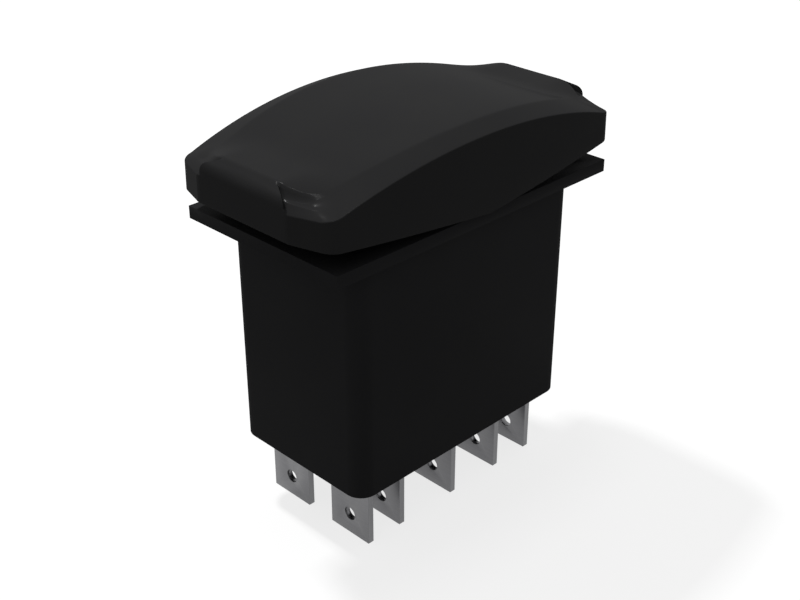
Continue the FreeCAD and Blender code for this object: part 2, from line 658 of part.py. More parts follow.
def cap_top(label, inset, hollow=False):
    """Solid under the cap's bevels: arched along the middle, falling to the facets at the ends.

    The one for the hollow goes straight from section to section, because nobody sees it.
    """
    body = new_body(label)
    out = f"({CAP_SIDE} + fit_gap)"
    low = "(-2 * cap_wall)"

    def section(along, inner, top, outer):
        profile = new_sketch(body, "YZ_Plane", along)
        outline(profile, [(f"-{out}", low), (out, low), (out, outer), (inner, top), (f"-{inner}", top),
                          (f"-{out}", outer)])
        return profile

    def arched_section(along):
        inner = f"({PAD_SIDE} - {inset} / 3)"
        top = f"({arch('pad_radius', PAD_AXIS, along)} - pad_step - {inset})"
        rim = f"({arch('rim_radius', RIM_AXIS, along)} - {inset})"
        wall = f"({CAP_SIDE} - (crown - rim_drop) * tan(cap_draft) - side_bow * ({along} / {CORNER_PLACE}) ^ 2)"
        outer = f"({top} - ({top} - {rim}) * ({out} - {inner}) / ({wall} - {inner}))"
        return section(along, inner, top, outer)

    reach = f"({CAP_END} - end_bevel)"
    loft(body, [arched_section(f"({step} / 2 * {reach})") for step in range(-2, 3)], hollow)
    for side in (1, -1):
        end = section(f"({side} * ({CAP_END} + fit_gap))", NOSE_HALF, f"(crown - crease_drop - {inset})",
                      f"(crown - corner_drop - {inset})")
        loft(body, [arched_section(f"({side} * {reach})"), end], True)
    return body


def combine(body, tool, kind):
    """Joins a second body to the first one, or cuts it away."""
    feature = body.newObject("PartDesign::Boolean", kind.lower())
    feature.Type = kind
    feature.setObjects([tool])
    return feature


def make_pad():
    """Raised pad: a long arch, a hollow flare and a flat lip at each end, with the two noses."""
    body = new_body("cap_pad")
    bottom = "(crown / 2)"
    flare_end = f"sqrt((pad_radius + flare_radius) ^ 2 - ({LIP} + flare_radius - {PAD_AXIS}) ^ 2)"
    flare_start = f"({flare_end} * pad_radius / (pad_radius + flare_radius))"
    level = arch("pad_radius", PAD_AXIS, flare_start)
    profile = new_sketch(body, "XZ_Plane")
    outline(profile, [(f"-{PAD_END}", bottom), (PAD_END, bottom), (PAD_END, LIP), (flare_end, LIP),
                      (flare_start, level), (f"-{flare_start}", level), (f"-{flare_end}", LIP),
                      (f"-{PAD_END}", LIP)],
            {3: ("flare_radius", -1), 4: ("pad_radius", 1), 5: ("flare_radius", -1)})
    pad(body, profile, f"2 * {PAD_SIDE}", both_ways=True)
    round_edges(body, upright, "pad_corner")
    noses = new_sketch(body, "XZ_Plane")
    tip = f"({CAP_END} + fit_gap)"
    outline(noses, [(PAD_END, f"{LIP} - nose_step"), (f"-{PAD_END}", f"{LIP} - nose_step"),
                    (f"-{tip}", "crown - nose_drop"), (f"-{tip}", bottom), (tip, bottom),
                    (tip, "crown - nose_drop")])
    pad(body, noses, f"2 * {NOSE_HALF}", both_ways=True)
    return body


def make_cap_inside():
    """Cross ribs that rest on the bracket, and legs that snap through its windows."""
    body = new_body("cap_inside")
    under_skin = f"({arch('pad_radius', PAD_AXIS, '{0}')} - cap_wall / 2)"
    for side in ("", "-"):
        rib = new_sketch(body, "XZ_Plane")
        low = f"{side}(rib_place - rib_thickness / 2)"
        high = f"{side}(rib_place + rib_thickness / 2)"
        rectangle(rib, low, high, "bracket_top + seat_gap", under_skin.format("rib_place"))
        pad(body, rib, f"2 * ({CAP_SIDE} - side_bow - cap_wall / 2)", both_ways=True)
        leg = new_sketch(body, "XZ_Plane")
        inner = f"{side}(leg_place - leg_thickness / 2)"
        outer = f"{side}(leg_place + leg_thickness / 2)"
        barb = f"{side}(leg_place + leg_thickness / 2 + barb_reach)"
        catch = f"{ROOF_UNDER} - fit_gap"
        top = under_skin.format("leg_place")
        outline(leg, [(inner, top), (inner, f"{catch} - barb_height"),
                      (f"{side}(leg_place + leg_gap)", f"{catch} - barb_height"),
                      (barb, catch), (outer, catch), (outer, top)])
        pad(body, leg, "leg_width", both_ways=True)
    # A spine ties the ribs and legs together under the roof
    spine = new_sketch(body, "XZ_Plane")
    spine_end = "(rib_place + rib_thickness / 2)"
    rectangle(spine, f"-{spine_end}", spine_end, f"({under_skin.format('rib_place')} - cap_wall)",
              under_skin.format("rib_place"))
    pad(body, spine, "rib_thickness", both_ways=True)
    return body


# Rocker cap: arched moulded cover with a raised pad, hollow below, with ribs and snap legs
def make_cap():
    body = cap_walls("rocker_cap", "0", "0")
    top = cap_top("cap_top", "0")
    combine(top, make_pad(), "Fuse")
    combine(body, top, "Common")
    # The lower edge rises to both ends, so that the cap can tilt above the flange
    lower = new_sketch(body, "XZ_Plane")
    far = f"(2 * {CAP_END})"
    rise = f"skirt_middle + {far} * tan(skirt_angle)"
    outline(lower, [("0", "skirt_middle"), (far, rise), (far, "-cap_wall"),
                    (f"-{far}", "-cap_wall"), (f"-{far}", rise)])
    pocket(body, lower, f"4 * {CAP_SIDE}", both_ways=True)
    nose_start = number(f"{PAD_END} + fit_gap")
    crease = number("crown - crease_drop")
    round_edges(body, lambda edge: along_y(edge) and abs(edge.CenterOfMass.x) > nose_start
                and edge.CenterOfMass.z > crease, "nose_round")
    hollow = cap_walls("cap_hollow", "cap_wall", "-cap_wall")
    combine(hollow, cap_top("hollow_top", "cap_wall", hollow=True), "Common")
    combine(body, hollow, "Cut")
    combine(body, make_cap_inside(), "Fuse")
    return keep(body)


# Indicator lamps: one per end, each with a resistor in one lead, wired to the lamp terminals
def make_lamp(end):
    side = "-" if end == "near" else ""
    profile = [("0", "0"), ("lamp_flange / 2", "0"), ("lamp_flange / 2", "lamp_flange_height"),
               ("lamp_diameter / 2", "lamp_flange_height"),
               ("lamp_diameter / 2", "lamp_height - lamp_taper"),
               ("lamp_diameter / 2 - lamp_taper", "lamp_height"), ("0", "lamp_height")]
    return keep(turned(f"indicator_lamp_{end}", profile, (f"{side}lamp_place", "0", "-lamp_foot")))


def make_resistor(end):
    side = "-" if end == "near" else ""
    half = "resistor_diameter / 2"
    profile = [("0", "0"), (half, "0"), (half, "resistor_length"), ("0", "resistor_length")]
    return keep(turned(f"lamp_resistor_{end}", profile,
                       (f"{side}lamp_place", "-resistor_offset", "-resistor_top - resistor_length")))


def bent_wire(points, thickness, bend):
    """Square wire along straight runs that are joined by arcs."""
    path = []
    start = points[0]
    for before, corner, after in zip(points, points[1:], points[2:]):
        back = (before - corner).normalize()
        ahead = (after - corner).normalize()
        half_turn = (math.pi - back.getAngle(ahead)) / 2
        setback = bend * math.tan(half_turn)
        first = corner + back * setback
        last = corner + ahead * setback
        inward = (back + ahead).normalize()
        middle = corner + inward * (bend / math.cos(half_turn) - bend)
        path += [Part.LineSegment(start, first).toShape(), Part.Arc(first, middle, last).toShape()]
        start = last
    path.append(Part.LineSegment(start, points[-1]).toShape())
    half = thickness / 2
    corners = [points[0] + FreeCAD.Vector(x * half, y * half, 0)
               for x, y in ((1, 1), (-1, 1), (-1, -1), (1, -1), (1, 1))]
    section = Part.makePolygon(corners)
    return Part.Wire(path).makePipeShell([section], True, False)


def make_leads(end):
    """Three tinned wires: lamp to terminal, lamp to resistor, resistor to terminal."""
    side = -1 if end == "near" else 1
    across = side * number("lamp_place")
    face = side * (number(f"{end}_lamp_row") - number("tab_thickness") / 2 - number("seat_gap"))
    lamp_z = -number("lamp_foot") - number("seat_gap")
    pin = number("lead_pitch") / 2
    land_y = number("terminal_column") - number("stem_width") / 4
    land_z = number("base_thickness") - number("case_depth") + number("lead_height")
    bend = number("lead_bend")
    offset = number("resistor_offset")
    resistor_top = -number("resistor_top") + number("seat_gap")
    resistor_foot = resistor_top - number("resistor_length") - 2 * number("seat_gap")
    jog = (lamp_z - resistor_top) / 3
    place = FreeCAD.Vector
    straight = [place(across, pin, lamp_z), place(across, pin, land_z + 3 * bend),
                place(across, land_y, land_z), place(face, land_y, land_z)]
    to_resistor = [place(across, -pin, lamp_z), place(across, -pin, lamp_z - jog),
                   place(across, -offset, resistor_top + jog),
                   place(across, -offset, resistor_top)]
    from_resistor = [place(across, -offset, resistor_foot),
                     place(across, -offset, land_z + 3 * bend),
                     place(across, -land_y, land_z), place(face, -land_y, land_z)]
    wires = [bent_wire(route, number("lead_diameter"), bend)
             for route in (straight, to_resistor, from_resistor)]
    leads = doc.addObject("Part::Feature", f"lamp_leads_{end}")
    leads.Label = f"lamp_leads_{end}"
    leads.Shape = Part.makeCompound(wires)
    leads.Placement = FreeCAD.Placement()
    return keep(leads)


def check_and_write():
    """Refuses a failed object or a bad solid, then writes one file for each sub-part."""
    doc.recompute()
    for piece in doc.Objects:
        if "Invalid" in piece.State or "Error" in piece.State:
            raise RuntimeError(f"{piece.Label} could not be built")
    for piece in parts:
        if piece.Shape.isNull() or not piece.Shape.isValid():
            raise RuntimeError(f"{piece.Label} has no valid solid")
    os.makedirs("parts", exist_ok=True)
    for piece in parts:
        piece.Shape.exportStep(f"parts/{piece.Label}.step")
        print(piece.Label, len(piece.Shape.Solids), round(piece.Shape.Volume, 3))


make_housing()
make_base()
for pole_name in POLES:
    for row_name in ROWS:
        make_terminal(row_name, pole_name)
    for end_name in ("near", "far"):
        make_fixed_contact(end_name, pole_name)
        make_moving_contact(end_name, pole_name)
    make_blade(pole_name)
    make_plunger(pole_name)
    make_spring(pole_name)
make_bracket()
make_cap()
for end_name in ("near", "far"):
    make_lamp(end_name)
    make_resistor(end_name)
    make_leads(end_name)
check_and_write()
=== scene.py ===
import math

import bpy
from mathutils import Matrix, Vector


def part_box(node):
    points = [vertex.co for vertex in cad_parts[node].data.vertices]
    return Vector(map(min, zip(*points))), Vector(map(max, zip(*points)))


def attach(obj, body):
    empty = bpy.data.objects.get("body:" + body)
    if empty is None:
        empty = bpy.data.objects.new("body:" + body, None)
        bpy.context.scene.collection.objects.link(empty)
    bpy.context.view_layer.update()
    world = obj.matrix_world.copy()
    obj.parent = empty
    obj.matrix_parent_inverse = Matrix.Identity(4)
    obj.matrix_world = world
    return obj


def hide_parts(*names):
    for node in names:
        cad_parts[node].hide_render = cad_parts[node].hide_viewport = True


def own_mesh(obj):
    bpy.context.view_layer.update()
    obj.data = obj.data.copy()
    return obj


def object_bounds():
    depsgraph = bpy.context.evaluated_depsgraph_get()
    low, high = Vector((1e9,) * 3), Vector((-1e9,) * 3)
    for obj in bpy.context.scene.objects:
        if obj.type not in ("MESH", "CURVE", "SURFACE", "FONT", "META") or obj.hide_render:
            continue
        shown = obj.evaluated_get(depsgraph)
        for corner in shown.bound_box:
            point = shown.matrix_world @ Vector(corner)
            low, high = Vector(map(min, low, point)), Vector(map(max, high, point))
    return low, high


# A panel rocker switch on a pale floor: black cap and case, plated blade terminals underneath.
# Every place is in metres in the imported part's own frame, with Z out of the panel.
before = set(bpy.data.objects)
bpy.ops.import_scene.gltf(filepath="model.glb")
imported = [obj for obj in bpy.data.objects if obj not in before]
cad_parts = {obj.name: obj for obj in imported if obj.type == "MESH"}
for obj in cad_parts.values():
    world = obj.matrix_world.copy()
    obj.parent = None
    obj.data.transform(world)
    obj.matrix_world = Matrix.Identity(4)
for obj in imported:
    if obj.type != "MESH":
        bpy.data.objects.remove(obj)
cad_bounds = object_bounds()
MM = 0.001


# Case: one injection moulding in black glass-filled nylon, flange and box together.
# The tool's satin steel leaves a fine even grain and slightly softened edges.
def linear(code):
    """An sRGB hex colour as linear light with full alpha."""
    shares = [int(code[place:place + 2], 16) / 255 for place in (0, 2, 4)]
    light = [share / 12.92 if share <= 0.04045 else ((share + 0.055) / 1.055) ** 2.4
             for share in shares]
    return (*light, 1.0)


def new_material(name):
    """An empty material with its output node."""
    made = bpy.data.materials.new(name)
    made.use_nodes = True
    made.node_tree.nodes.clear()
    made.node_tree.nodes.new("ShaderNodeOutputMaterial")
    return made


def add(material, kind, settings=None, inputs=None):
    """Adds a node with its settings, and gives each input a value or another node's output.

    An input is named by its label, or by its number where two share a label: on a colour mix,
    6 and 7 are the two colours, and output 2 is the mixed one.
    """
    node = material.node_tree.nodes.new(f"ShaderNode{kind}")
    for name, value in (settings or {}).items():
        setattr(node, name, value)
    for name, value in (inputs or {}).items():
        if isinstance(value, bpy.types.NodeSocket):
            material.node_tree.links.new(value, node.inputs[name])
        else:
            node.inputs[name].default_value = value
    return node


def show(material, shader):
    """Sends a shader to the material's output."""
    output = material.node_tree.nodes["Material Output"]
    material.node_tree.links.new(shader.outputs[0], output.inputs["Surface"])
    return material


def moulded_plastic(name, colour, shade, roughness, gloss, grain=0.35 * MM, depth=0.012 * MM):
    """Opaque moulded plastic: an even matt body with faint flow clouds under a thin glossy skin.

    The gloss is the share of the surface where resin closes over the filler and reflects.
    """
    cloud_size = 9 * MM
    unevenness = 0.03
    made = new_material(name)
    place = add(made, "TexCoord").outputs["Object"]
    clouds = add(made, "TexNoise", None, {
        "Vector": place, "Scale": 1 / cloud_size, "Detail": 3.0})
    mix = add(made, "Mix", {"data_type": "RGBA"}, {
        "Factor": clouds.outputs["Fac"], 6: linear(colour), 7: linear(shade)})
    grains = add(made, "TexNoise", None, {"Vector": place, "Scale": 1 / grain, "Detail": 2.0})
    satin = add(made, "MapRange", None, {
        "Value": clouds.outputs["Fac"],
        "To Min": roughness - unevenness, "To Max": roughness + unevenness})
    relief = add(made, "Bump", None, {
        "Height": grains.outputs["Fac"], "Distance": depth, "Strength": 1.0})
    shader = add(made, "BsdfPrincipled", None, {
        "Base Color": mix.outputs[2], "Roughness": satin.outputs[0], "IOR": 1.5,
        "Specular IOR Level": 0.0, "Coat Weight": gloss, "Coat Roughness": roughness,
        "Coat IOR": 1.5, "Normal": relief.outputs[0]})
    return show(made, shader)


def dress(names, material, edge=0.0):
    """Gives CAD nodes their finish, with smooth rounds and, where asked, softened edges."""
    joined_within = 0.001 * MM
    bevelled_from = math.radians(40)
    smooth_to = math.radians(30)
    for name in names:
        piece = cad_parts[name]
        piece.data.materials.clear()
        piece.data.materials.append(material)
        weld = piece.modifiers.new("joined corners", "WELD")
        weld.merge_threshold = joined_within
        if edge:
            soft = piece.modifiers.new("softened edges", "BEVEL")
            soft.width = edge
            soft.segments = 2
            soft.limit_method = "ANGLE"
            soft.angle_limit = bevelled_from
            soft.harden_normals = True
        piece.data.shade_smooth()
        piece.data.set_sharp_from_angle(angle=smooth_to)


case_plastic = moulded_plastic("glass_filled_nylon_moulded_black", "272728", "222223",
                               roughness=0.3, gloss=0.04)
dress(["housing"], case_plastic, edge=0.12 * MM)

# Base: the plate that closes the case from below, pressed in with the terminals.
# The same nylon, left a little duller because nobody sees it in the panel.
base_plastic = moulded_plastic("glass_filled_nylon_moulded_dull", "232323", "1E1E1E",
                               roughness=0.4, gloss=0.04)
dress(["terminal_base"], base_plastic, edge=0.08 * MM)


# Terminals: stamped from half-hard brass strip and tin plated, so they show a soft grey sheen
# with fine rolling lines along the strip.
def rolled_metal(name, bright, dull, roughness, line, stretch=(1.0, 0.05, 1.0)):
    """Rolled or drawn metal with fine lines along the way it was worked."""
    unevenness = 0.06
    made = new_material(name)
    place = add(made, "TexCoord").outputs["Object"]
    run = add(made, "Mapping", None, {"Vector": place, "Scale": stretch})
    lines = add(made, "TexNoise", None, {
        "Vector": run.outputs[0], "Scale": 1 / line, "Detail": 3.0})
    mix = add(made, "Mix", {"data_type": "RGBA"}, {
        "Factor": lines.outputs["Fac"], 6: linear(dull), 7: linear(bright)})
    sheen = add(made, "MapRange", None, {
        "Value": lines.outputs["Fac"],
        "To Min": roughness - unevenness, "To Max": roughness + unevenness})
    shader = add(made, "BsdfPrincipled", None, {
        "Base Color": mix.outputs[2], "Metallic": 1.0, "Roughness": sheen.outputs[0]})
    return show(made, shader)


plated_brass = rolled_metal("tin_plated_brass_rolled", "7C7C7E", "6A6A6C",
                            roughness=0.34, line=0.12 * MM)
TERMINALS = [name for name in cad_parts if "_terminal_" in name]
dress(TERMINALS, plated_brass, edge=0.04 * MM)

# Contact blades: rolled copper strip, dished and grooved, each rocking on its knife edge.
# Bare copper, warm and slightly streaked along the strip.
copper = rolled_metal("bare_copper_rolled", "C98A63", "A9694A",
                      roughness=0.36, line=0.2 * MM, stretch=(0.05, 1.0, 1.0))
BLADES = [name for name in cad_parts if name.startswith("contact_blade")]
dress(BLADES, copper, edge=0.05 * MM)

# Contacts: silver alloy tips turned from rod, brazed on the blades and on the terminals' feet.
# Silver keeps a pale bright face, a little matt from switching.
silver = rolled_metal("silver_alloy_turned", "DAD8D2", "BDBAB2",
                      roughness=0.28, line=0.15 * MM, stretch=(1.0, 1.0, 0.2))
CONTACTS = [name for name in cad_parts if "fixed_contact" in name or "moving_contact" in name]
dress(CONTACTS, silver)

# Indicator lamps: cast red epoxy around a small light source, one at each end of the case.
# The resin is clear and deep coloured, with a glossy dome.
CLOUD_IN_RESIN = 1.5 * MM
resin = new_material("epoxy_resin_cast_red")
resin_place = add(resin, "TexCoord").outputs["Object"]
resin_cloud = add(resin, "TexNoise", None, {"Vector": resin_place, "Scale": 1 / CLOUD_IN_RESIN})
resin_mix = add(resin, "Mix", {"data_type": "RGBA"}, {
    "Factor": resin_cloud.outputs["Fac"], 6: linear("A3161B"), 7: linear("C4262A")})
show(resin, add(resin, "BsdfPrincipled", None, {
    "Base Color": resin_mix.outputs[2], "Roughness": 0.12, "IOR": 1.54,
    "Transmission Weight": 0.35}))
dress(["indicator_lamp_near", "indicator_lamp_far"], resin)

# Resistors: small film resistors, dipped in beige enamel, in one lead of each lamp.
# The enamel is glossy and slightly uneven, with sagging thicker ends.
enamel = moulded_plastic("enamel_dipped_beige", "C9B48C", "B79F75",
                         roughness=0.25, gloss=1.0, grain=1.2 * MM, depth=0.02 * MM)
dress(["lamp_resistor_near", "lamp_resistor_far"], enamel)

# Leads: tinned copper wire, bent from the lamps down to the outer terminals.
# Drawn wire with a bright even coat.
tinned = rolled_metal("tinned_copper_drawn", "B9BABC", "9FA0A3",
                      roughness=0.3, line=0.1 * MM, stretch=(1.0, 1.0, 0.05))
dress(["lamp_leads_near", "lamp_leads_far"], tinned)

# Plungers: natural nylon, moulded, milky and faintly yellow, left without pigment to slide well.
# They slide in the bracket's barrels and press on the contact blades.
natural_nylon = moulded_plastic("nylon_moulded_natural", "E3DFD2", "D8D3C3",
                                roughness=0.38, gloss=1.0)
dress(["plunger_left", "plunger_right"], natural_nylon)

# Bracket: black nylon, one moulding with the two barrels and the trunnions that it tilts on.
# It snaps onto the cap's legs from below.
black_nylon = moulded_plastic("nylon_moulded_black", "272728", "222223",
                              roughness=0.4, gloss=0.05)
dress(["rocker_bracket"], black_nylon, edge=0.1 * MM)

# Springs: music wire, coiled cold with its end turns closed, and left with its drawn polish.
# Each stands on its plunger's shoulder; the real one shortens as the plunger slides up the barrel,
# but this coil keeps one length.
spring_steel = rolled_metal("spring_steel_drawn", "8E9095", "6E7076",
                            roughness=0.25, line=0.08 * MM, stretch=(1.0, 1.0, 0.3))
SPRING_WIRE = 0.36
WORKING_TURNS = 5
CLOSED_TURNS = 1
CLOSED_PITCH = 1.2 * SPRING_WIRE
TURN_STEPS = 36
WIRE_SIDES = 10


def make_mesh(name, faces):
    """A mesh object from faces given by their corners in millimetres, its equal corners joined."""
    decimals = 5
    index = {}
    polygons = []
    for face in faces:
        polygon = []
        for place in face:
            key = tuple(round(value, decimals) for value in place)
            number = index.setdefault(key, len(index))
            if number not in polygon:
                polygon.append(number)
        if len(polygon) > 2:
            polygons.append(polygon)
    mesh = bpy.data.meshes.new(name)
    mesh.from_pydata([[value * MM for value in key] for key in index], [], polygons)
    piece = bpy.data.objects.new(name, mesh)
    bpy.context.scene.collection.objects.link(piece)
    return piece


def coil(low, high):
    """Faces of a compression spring of round wire that fills a box given in millimetres."""
    middle = (low + high) / 2
    radius = (high.x - low.x - SPRING_WIRE) / 2
    turns = WORKING_TURNS + 2 * CLOSED_TURNS
    open_pitch = (high.z - low.z - SPRING_WIRE - 2 * CLOSED_TURNS * CLOSED_PITCH) / WORKING_TURNS
    rings = []
    for step in range(turns * TURN_STEPS + 1):
        turn = step / TURN_STEPS
        opened = min(max(turn - CLOSED_TURNS, 0), WORKING_TURNS)
        height = low.z + SPRING_WIRE / 2 + opened * open_pitch + (turn - opened) * CLOSED_PITCH
        angle = 2 * math.pi * turn
        ring = []
        for side in range(WIRE_SIDES):
            around = 2 * math.pi * side / WIRE_SIDES
            reach = radius + SPRING_WIRE / 2 * math.cos(around)
            ring.append(Vector((middle.x + reach * math.cos(angle),
                                middle.y + reach * math.sin(angle),
                                height + SPRING_WIRE / 2 * math.sin(around))))
        rings.append(ring)
    faces = [rings[0], rings[-1][::-1]]
    for ring, following in zip(rings, rings[1:]):
        for side in range(WIRE_SIDES):
            other = (side + 1) % WIRE_SIDES
            faces.append([ring[other], ring[side], following[side], following[other]])
    return faces


for side in ("left", "right"):
    node = f"plunger_spring_{side}"
    low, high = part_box(node)
    spring = make_mesh(f"{node}_wire", coil(low / MM, high / MM))
    spring.data.shade_smooth()
    spring.data.materials.append(spring_steel)
    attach(spring, "rocker")
    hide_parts(node)
    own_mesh(spring)
    dress([node], spring_steel)

# Rocker cap: one thin-walled moulding in black polycarbonate blend with a satin polished face.
# Arched lengthwise and bowed in plan, with a raised pad, sloping bevels round it, a nose at each
# end between two slanted facets, and a lower edge that rises so that it can tilt on the flange.
cap_low, cap_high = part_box("rocker_cap")
DRAFT = math.tan(math.radians(1.0))
SKIRT_RISE = math.tan(math.radians(5.7))
SKIRT_MIDDLE = cap_low.z / MM
SKIRT_ROUND = 0.12
CROWN = cap_high.z / MM
CAP_SIDE = cap_high.y / MM + SKIRT_MIDDLE * DRAFT
CAP_END = cap_high.x / MM + (SKIRT_MIDDLE + cap_high.x / MM * SKIRT_RISE) * DRAFT
CAP_WALL = 1.6
SIDE_BOW = 1.0
CORNER_RADIUS = 2.0
CORNER_DROP = 4.22
CORNER_HEIGHT = CROWN - CORNER_DROP
FACET_SETBACK = 1.6

# The pad is an arch that flares into a flat lip at each end and is a little higher than the rim
PAD_RADIUS = 63.0
PAD_LIFT = 0.32
PAD_AXIS = CROWN + PAD_LIFT - PAD_RADIUS
PAD_SETBACK = 1.6
PAD_END = CAP_END - PAD_SETBACK
PAD_INSET = 2.56
PAD_SIDE = CAP_SIDE - PAD_INSET
PAD_BOW = 2.5
PAD_CORNER = 4.4
PAD_EDGE = 0.22
LIP_DROP = 1.93
LIP_HEIGHT = CROWN - LIP_DROP
LIP_HALF = 4.4
LIP_FADE = 4.6
LIP_FADE_POWER = 1.5
FLARE_RADIUS = 12.0

# The rim is where the bevels meet the walls, and the fold is where they bend down to it
RIM_RADIUS = 66.0
RIM_DROP = 0.6
RIM_AXIS = CROWN - RIM_DROP - RIM_RADIUS
RIM_REACH = 0.13
FOLD_SHARE = 0.3
FOLD_REACH = 0.42
HOLLOW = 0.24
NOSE_INSET = 5.7
NOSE_HALF = CAP_SIDE - NOSE_INSET
NOSE_RISE = 1.4
NOSE_FLANK = 0.55
NOSE_ROUND = 0.45

# How finely each stretch is drawn, from the middle of a side to the middle of an end
ARCH_STEPS = 24
FLARE_STEPS = 6
CORNER_STEPS = 12
FACET_STEPS = 14
NOSE_STEPS = 12

# The flare is an arc that touches both the arch and the flat lip
FLARE_CENTRE = math.sqrt((PAD_RADIUS + FLARE_RADIUS) ** 2
                         - (LIP_HEIGHT + FLARE_RADIUS - PAD_AXIS) ** 2)
FLARE_START = FLARE_CENTRE * PAD_RADIUS / (PAD_RADIUS + FLARE_RADIUS)


def pad_height(x, y):
    """Height of the pad's surface: arch, then flare, then flat lip, which fades at the corners."""
    along = abs(x)
    arch = math.sqrt(PAD_RADIUS ** 2 - along ** 2) + PAD_AXIS
    if along < FLARE_START:
        return arch
    flare = LIP_HEIGHT
    if along < FLARE_CENTRE:
        flare += FLARE_RADIUS - math.sqrt(FLARE_RADIUS ** 2 - (FLARE_CENTRE - along) ** 2)
    fade = min(max(abs(y) - LIP_HALF, 0.0) / LIP_FADE, 1.0) ** LIP_FADE_POWER
    return flare + (arch - flare) * fade


def bowed(x, side, bow, length):
    """Half width and turn of the outward normal of a side that draws in by a bow at a length."""
    return side - bow * (x / length) ** 2, math.atan(2 * bow * x / length ** 2)


def rim_height(x):
    """Height of the long edges."""
    return math.sqrt(RIM_RADIUS ** 2 - x ** 2) + RIM_AXIS


def ease(share):
    """Smooth step from 0 to 1."""
    held = min(max(share, 0.0), 1.0)
    return held * held * (3 - 2 * held)


# Plan of the cap at the height of the panel: a bowed side, a rounded corner, a facet and a nose
CORNER_PLACE = CAP_END - FACET_SETBACK
CORNER_SIDE = CAP_SIDE - SIDE_BOW
FACET_RUN = CORNER_SIDE - NOSE_HALF
FACET_LENGTH = math.hypot(FACET_SETBACK, FACET_RUN)
SIDE_TURN = math.atan(2 * SIDE_BOW / CORNER_PLACE)
FACET_TURN = math.atan2(FACET_RUN, FACET_SETBACK)
CORNER_TANGENT = CORNER_RADIUS * math.tan((FACET_TURN - SIDE_TURN) / 2)
SIDE_STOP = CORNER_PLACE - CORNER_TANGENT * math.cos(SIDE_TURN)


def quarter_stations():
    """Stations from the middle of a long side to the middle of an end.

    Each one pairs a point of the pad's outline with a point of the plan: pad place, pad normal,
    plan place, plan normal, height of the rim, share of the nose, hollow of the bevel.
    """
    pad_turn = bowed(PAD_END - PAD_CORNER, PAD_SIDE, PAD_BOW, PAD_END)[1]
    arc_start = PAD_END - PAD_CORNER * (1 - math.sin(pad_turn))
    arc_side = bowed(arc_start, PAD_SIDE, PAD_BOW, PAD_END)[0] - PAD_CORNER * math.cos(pad_turn)
    inner_corner = PAD_CORNER - PAD_EDGE
    stations = []

    # The long side, where the plan runs further than the pad and catches up near the corner
    catch_up = 4
    arch_steps = [FLARE_START * step / ARCH_STEPS for step in range(ARCH_STEPS + 1)]
    flare_steps = [FLARE_START + (arc_start - FLARE_START) * step / FLARE_STEPS
                   for step in range(1, FLARE_STEPS + 1)]
    for x in arch_steps + flare_steps:
        side, turn = bowed(x, PAD_SIDE, PAD_BOW, PAD_END)
        normal = (math.sin(turn), math.cos(turn))
        place = (x - PAD_EDGE * normal[0], side - PAD_EDGE * normal[1])
        plan_x = x + (SIDE_STOP - arc_start) * (x / arc_start) ** catch_up
        side, turn = bowed(plan_x, CAP_SIDE, SIDE_BOW, CORNER_PLACE)
        stations.append((place, normal, (plan_x, side), (math.sin(turn), math.cos(turn)),
                         rim_height(plan_x), 0.0, 0.0))

    # The rounded corner and then the slanted facet, while the pad goes round its own corner
    edge_height = rim_height(SIDE_STOP)
    centre_x = SIDE_STOP - CORNER_RADIUS * math.sin(SIDE_TURN)
    centre_y = (CORNER_SIDE + CORNER_TANGENT * math.sin(SIDE_TURN)
                - CORNER_RADIUS * math.cos(SIDE_TURN))
    lean_from = 0.9
    lean_over = 0.1
    lean_part = 0.5
    for step in range(1, CORNER_STEPS + FACET_STEPS + 1):
        turn = pad_turn + (math.pi / 2 - pad_turn) * step / (CORNER_STEPS + FACET_STEPS)
        normal = (math.sin(turn), math.cos(turn))
        place = (PAD_END - PAD_CORNER + inner_corner * normal[0],
                 arc_side + inner_corner * normal[1])
        if step <= CORNER_STEPS:
            share = step / CORNER_STEPS
            lean = SIDE_TURN + (FACET_TURN - SIDE_TURN) * share
            plan = (centre_x + CORNER_RADIUS * math.sin(lean),
                    centre_y + CORNER_RADIUS * math.cos(lean))
            height = edge_height + (CORNER_HEIGHT - edge_height) * share
            hollow = HOLLOW * share ** 2
        else:
            share = 1 - (1 - (step - CORNER_STEPS) / FACET_STEPS) ** 2
            run = (CORNER_TANGENT + (FACET_LENGTH - CORNER_TANGENT) * share) / FACET_LENGTH
            plan = (CAP_END - FACET_SETBACK * (1 - run), CORNER_SIDE - FACET_RUN * run)
            lean = (FACET_TURN + (math.pi / 2 - FACET_TURN) * lean_part
                    * ease((share - lean_from) / lean_over))
            height = CORNER_HEIGHT
            hollow = HOLLOW
        stations.append((place, normal, plan, (math.sin(lean), math.cos(lean)),
                         height, 0.0, hollow))

    # The nose, from its flank to the middle of the end
    for step in range(1, NOSE_STEPS + 1):
        share = 1 - step / NOSE_STEPS
        place = (PAD_END - PAD_EDGE, arc_side * share)
        nose = ease(NOSE_HALF * (1 - share) / NOSE_FLANK)
        stations.append((place, (1.0, 0.0), (CAP_END, NOSE_HALF * share), (1.0, 0.0),
                         CORNER_HEIGHT, nose, HOLLOW * (1 - nose)))
    return stations


def bend(before, corner, after, reach, steps):
    """Points of a round between two straight edges that meet at a corner."""
    back = (before - corner).normalized()
    ahead = (after - corner).normalized()
    weight = math.sin(back.angle(ahead) / 2)
    start = corner + back * reach
    end = corner + ahead * reach
    points = []
    for step in range(steps + 1):
        share = step / steps
        first = (1 - share) ** 2
        middle = 2 * share * (1 - share) * weight
        last = share ** 2
        points.append((start * first + corner * middle + end * last) / (first + middle + last))
    return points


